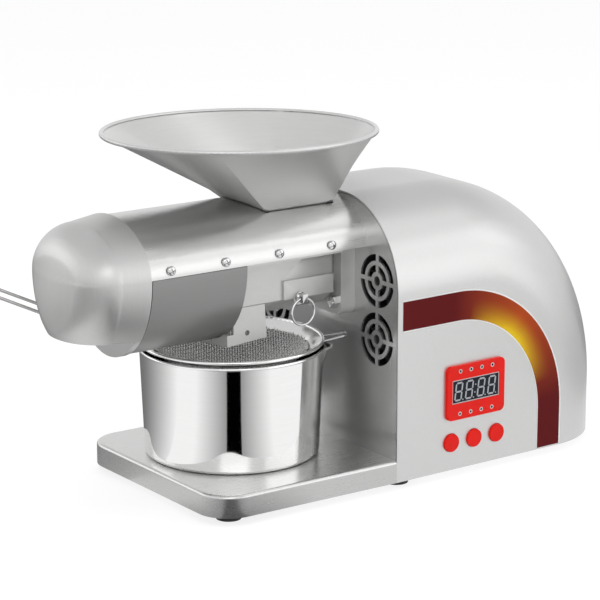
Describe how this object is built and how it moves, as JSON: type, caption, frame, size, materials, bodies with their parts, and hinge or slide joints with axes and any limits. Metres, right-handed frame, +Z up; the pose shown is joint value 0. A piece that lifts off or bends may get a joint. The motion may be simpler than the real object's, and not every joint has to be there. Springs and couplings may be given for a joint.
{
  "type": "screw oil press",
  "caption": "Table-top screw press that draws oil from seeds: hopper, covered press barrel, motor housing with controls, drip pot and strainer on a base tray.",
  "frame": {"origin": "middle of the footprint box, on the floor under the feet", "axes": "+X from the nose to the rear of the housing, along the press screw; the control side faces -Y; +Z up"},
  "size_m": [0.4446, 0.1982, 0.2482],
  "materials": {
    "brushed_steel": "brushed",
    "housing_silver": "satin",
    "polished_steel": "polished",
    "machined_steel": "machined",
    "zinc_steel": "bright",
    "black_rubber": "matte",
    "black_plastic": "matte",
    "red_plastic": "gloss",
    "dark_window": "gloss",
    "lamp_lens": "gloss",
    "board_green": "satin",
    "bronze": "satin",
    "mica_band": "satin",
    "motor_grey": "satin",
    "mesh_steel": "woven"
  },
  "bodies": {
    "frame": {"base_plate": "brushed_steel", "floor_pan": "machined_steel", "rubber_feet": "black_rubber", "foot_screws": "zinc_steel", "motor_housing": "housing_silver", "front_panel": "brushed_steel", "fan_frames": "black_plastic", "display_bezel": "red_plastic", "display_window": "dark_window", "display_module": "black_plastic", "indicator_lamps": "lamp_lens", "circuit_board": "board_green", "button_board": "board_green", "power_inlet": "black_plastic", "inlet_pins": "zinc_steel", "switch_frame": "black_plastic", "top_cover": "brushed_steel", "lower_cover": "brushed_steel", "cover_rails": "machined_steel", "cover_screws": "zinc_steel", "nose_plate": "brushed_steel", "nose_cap": "brushed_steel", "barrel_block": "machined_steel", "flange_plate": "machined_steel", "flange_bush": "bronze", "flange_bolts": "zinc_steel", "press_barrel": "machined_steel", "barrel_cap": "machined_steel", "heater_band": "mica_band", "drip_bracket": "machined_steel", "feed_throat": "machined_steel", "gearbox_front_plate": "machined_steel", "gearbox_rear_plate": "machined_steel", "gearbox_spacers": "machined_steel", "shaft_bearings": "machined_steel", "motor_body": "motor_grey", "motor_cradle": "machined_steel"},
    "screw": {"press_screw": "machined_steel", "output_shaft": "machined_steel", "output_gear": "machined_steel"},
    "idler": {"idler_shaft": "machined_steel", "idler_gear": "machined_steel"},
    "motor_rotor": {"motor_shaft": "machined_steel"},
    "upper_fan": {"upper_fan_rotor": "black_plastic"},
    "lower_fan": {"lower_fan_rotor": "black_plastic"},
    "feed_hopper": {"hopper": "brushed_steel"},
    "oil_pot": {"pot": "polished_steel", "strainer_frame": "polished_steel", "strainer_mesh": "mesh_steel"},
    "pin": {"lock_pin": "zinc_steel"},
    "ring": {"pull_ring": "zinc_steel"},
    "left_button": {"button_1": "red_plastic"},
    "middle_button": {"button_2": "red_plastic"},
    "right_button": {"button_3": "red_plastic"},
    "rocker": {"switch_rocker": "black_plastic"}
  },
  "joints": [
    {"name": "screw_spin", "type": "hinge", "parent": "frame", "child": "screw", "pos_m": [0.0153, -0.01309, 0.15], "axis": [1, 0, 0], "continuous": true},
    {"name": "idler_spin", "type": "hinge", "parent": "frame", "child": "idler", "pos_m": [0.01681, 0.01091, 0.10843], "axis": [1, 0, 0], "continuous": true},
    {"name": "motor_spin", "type": "hinge", "parent": "frame", "child": "motor_rotor", "pos_m": [0.0438, -0.01309, 0.06686], "axis": [1, 0, 0], "continuous": true},
    {"name": "upper_fan_spin", "type": "hinge", "parent": "frame", "child": "upper_fan", "pos_m": [0.01681, -0.07399, 0.1425], "axis": [1, 0, 0], "continuous": true},
    {"name": "lower_fan_spin", "type": "hinge", "parent": "frame", "child": "lower_fan", "pos_m": [0.01681, -0.07399, 0.1017], "axis": [1, 0, 0], "continuous": true},
    {"name": "hopper_lift", "type": "slide", "parent": "frame", "child": "feed_hopper", "axis": [0, 0, 1], "range_m": [0, 0.09]},
    {"name": "pot_slide", "type": "slide", "parent": "frame", "child": "oil_pot", "axis": [0, 1, 0], "range_m": [0, 0.16]},
    {"name": "pin_pull", "type": "slide", "parent": "frame", "child": "pin", "axis": [0, -1, 0], "range_m": [0, 0.02]},
    {"name": "ring_swing", "type": "hinge", "parent": "pin", "child": "ring", "pos_m": [-0.02969, -0.05129, 0.1325], "axis": [1, 0, 0], "range_deg": [-90, 30]},
    {"name": "switch_rock", "type": "hinge", "parent": "frame", "child": "rocker", "pos_m": [0.08727, 0.0687, 0.036], "axis": [0, 0, 1], "range_deg": [0, 14]},
    {"name": "left_press", "type": "slide", "parent": "frame", "child": "left_button", "axis": [-0.0279, 0.9996, 0], "range_m": [0, 0.001], "stiffness_N_per_m": 300},
    {"name": "middle_press", "type": "slide", "parent": "frame", "child": "middle_button", "axis": [-0.0279, 0.9996, 0], "range_m": [0, 0.001], "stiffness_N_per_m": 300},
    {"name": "right_press", "type": "slide", "parent": "frame", "child": "right_button", "axis": [-0.0279, 0.9996, 0], "range_m": [0, 0.001], "stiffness_N_per_m": 300}
  ],
  "couplings": [
    {"joint": "idler_spin", "follows": "screw_spin", "ratio": -4},
    {"joint": "motor_spin", "follows": "screw_spin", "ratio": 16}
  ]
}
